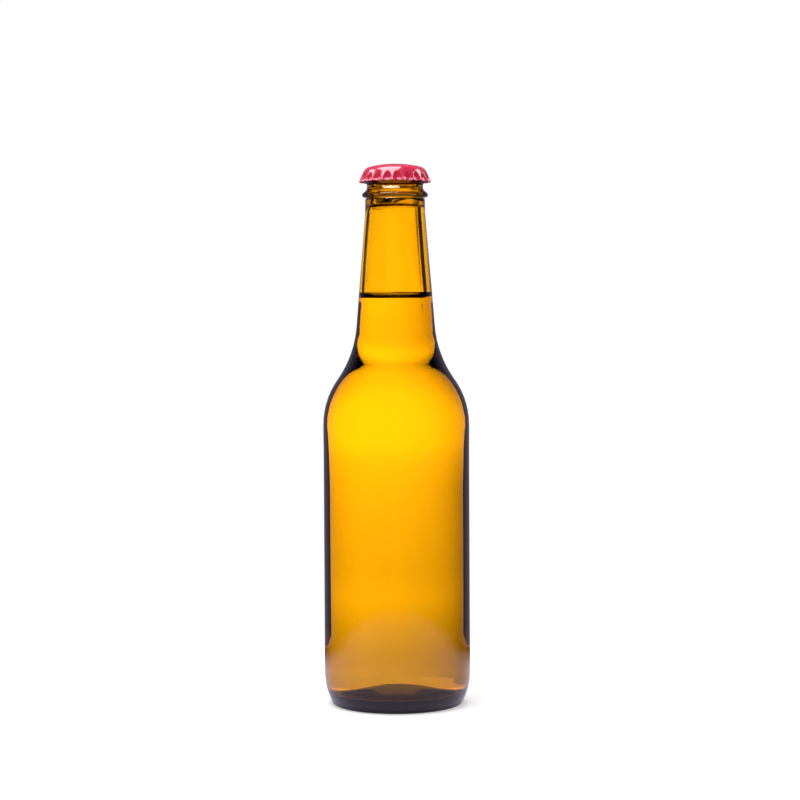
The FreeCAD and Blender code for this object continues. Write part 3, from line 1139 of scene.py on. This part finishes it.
def soft_light(name, power, size, place, target, only=None, spread=180, tint="FFFFFF"):
    """A soft light that faces a target. It lights all evenly, or shows in the gloss of one object alone."""
    lamp = bpy.data.lights.new(name, "AREA")
    lamp.shape = "RECTANGLE"
    lamp.size, lamp.size_y = size
    lamp.energy = power
    lamp.color = linear(tint)
    lamp.spread = math.radians(spread)
    made = bpy.data.objects.new(name, lamp)
    made.location = place
    made.rotation_euler = (Vector(target) - Vector(place)).to_track_quat("-Z", "Y").to_euler()
    made.visible_transmission = False
    if only is None:
        made.visible_glossy = False
    else:
        made.visible_diffuse = False
        lit = bpy.data.collections.new(name)
        lit.objects.link(only)
        made.light_linking.receiver_collection = lit
        made.light_linking.blocker_collection = lit
    bpy.context.scene.collection.objects.link(made)
    return made


class BOTTLE_OT_stage(bpy.types.Operator):
    """Sets the floor, the paper and cards, the lights, the world and the camera"""

    bl_idname = "bottle.make_stage"
    bl_label = "Make the stage"

    def execute(self, context):
        settings = context.scene.bottle_studio
        sizes = context.scene.bottle_glass
        level = GLASS_HIGH.z - context.scene.bottle_drink.headspace
        turns = [math.tau * k / FLOOR_SIDES for k in range(FLOOR_SIDES)]
        disc = bpy.data.meshes.new("floor")
        reach = settings.floor_radius
        rim = [(reach * math.cos(a), reach * (math.sin(a) - FLOOR_FORWARD), 0) for a in turns]
        disc.from_pydata(rim, [], [tuple(range(FLOOR_SIDES))])
        floor = new_object("floor", disc, floor_finish(reach))
        tent = new_object("light_tent", light_tent(sizes, settings, level), paper_and_card())
        for kind in ("camera", "diffuse", "glossy", "shadow", "volume_scatter"):
            setattr(tent, "visible_" + kind, False)
        crown = bpy.data.objects["crown_cap"]
        glass = bpy.data.objects["amber_bottle"]
        soft_light("key_light", settings.key_power, **KEY_LIGHT)
        soft_light("gloss_light", settings.gloss_power, only=crown, **GLOSS_LIGHT)
        soft_light("throat_light", settings.throat_power, only=glass, **THROAT_LIGHT, **THROAT_LIGHT_LOOK)
        for place in RIM_LIGHT_PLACES:
            soft_light("rim_light", settings.rim_power, place=place, only=crown, **RIM_LIGHT)
        studio_world(settings)
        self.place_camera(context)
        context.scene.view_settings.view_transform = "Standard"
        context.scene.cycles.max_bounces = 32
        context.scene.cycles.transmission_bounces = 32
        context.scene.cycles.glossy_bounces = 12
        return {"FINISHED"}

    def place_camera(self, context):
        """The photograph's camera: a little above the middle, almost level, leaning a trace."""
        lens = bpy.data.cameras.new("camera")
        lens.lens = CAMERA_LENS
        lens.clip_start = 0.01
        camera = bpy.data.objects.new("camera", lens)
        place = Vector((0, -CAMERA_DISTANCE, CAMERA_HEIGHT))
        aim = Vector((AIM_ASIDE, 0, AIM_HEIGHT))
        facing = (aim - place).to_track_quat("-Z", "Y").to_matrix().to_4x4()
        camera.matrix_world = Matrix.Translation(place) @ facing @ Matrix.Rotation(CAMERA_ROLL, 4, "Z")
        context.scene.collection.objects.link(camera)
        context.scene.camera = camera


class BOTTLE_PT_sidebar(bpy.types.Panel):
    """Lists the pieces and their sizes in the 3D view's sidebar"""

    bl_idname = "BOTTLE_PT_sidebar"
    bl_label = "Capped glass bottle"
    bl_space_type = "VIEW_3D"
    bl_region_type = "UI"
    bl_category = "Bottle"

    def draw(self, context):
        for operator in OPERATORS:
            self.layout.operator(operator.bl_idname)
        for name in SETTINGS:
            group = getattr(context.scene, name)
            column = self.layout.column()
            for field in group.bl_rna.properties:
                if not field.is_readonly and field.identifier != "name":
                    column.prop(group, field.identifier)


OPERATORS = (BOTTLE_OT_glass, BOTTLE_OT_drink, BOTTLE_OT_crown, BOTTLE_OT_liner, BOTTLE_OT_stage)
SETTINGS = {
    "bottle_glass": BottleGlassSettings,
    "bottle_drink": BottleDrinkSettings,
    "bottle_crown": CrownSettings,
    "bottle_studio": StudioSettings,
}


def register():
    for kind in (*SETTINGS.values(), *OPERATORS, BOTTLE_PT_sidebar):
        bpy.utils.register_class(kind)
    for name, kind in SETTINGS.items():
        setattr(bpy.types.Scene, name, PointerProperty(type=kind))


def unregister():
    for name in SETTINGS:
        delattr(bpy.types.Scene, name)
    for kind in reversed((*SETTINGS.values(), *OPERATORS, BOTTLE_PT_sidebar)):
        bpy.utils.unregister_class(kind)


def main():
    register()
    bpy.ops.bottle.make_glass()
    bpy.ops.bottle.make_drink()
    bpy.ops.bottle.make_crown()
    bpy.ops.bottle.make_liner()
    bpy.ops.bottle.make_stage()
    bpy.context.view_layer.update()


if __name__ == "__main__":
    main()
